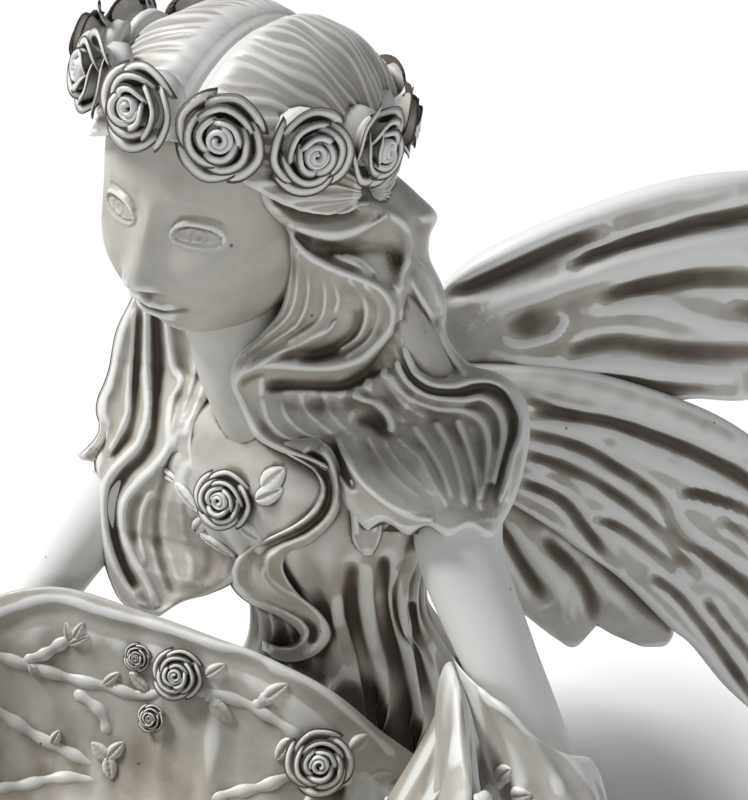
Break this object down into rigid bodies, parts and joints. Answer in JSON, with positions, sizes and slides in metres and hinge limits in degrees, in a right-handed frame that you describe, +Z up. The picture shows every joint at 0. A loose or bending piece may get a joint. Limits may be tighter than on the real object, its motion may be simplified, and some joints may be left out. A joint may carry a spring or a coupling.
{
  "type": "fairy bird feeder statue",
  "caption": "Cast resin garden statue of a kneeling winged fairy in a rose crown, holding out a fold of cloth as a feeding bowl.",
  "frame": {"origin": "middle of the plinth's box on its underside, where the statue stands", "axes": "+Z up, she faces -Y and her left side is +X"},
  "size_m": [0.3318, 0.3656, 0.3832],
  "materials": {
    "antiqued_resin": "satin-matt cast resin, ivory high spots with a brown-grey antique wash in every recess"
  },
  "bodies": {
    "root": {"fairy_statue": "antiqued_resin"}
  },
  "joints": []
}
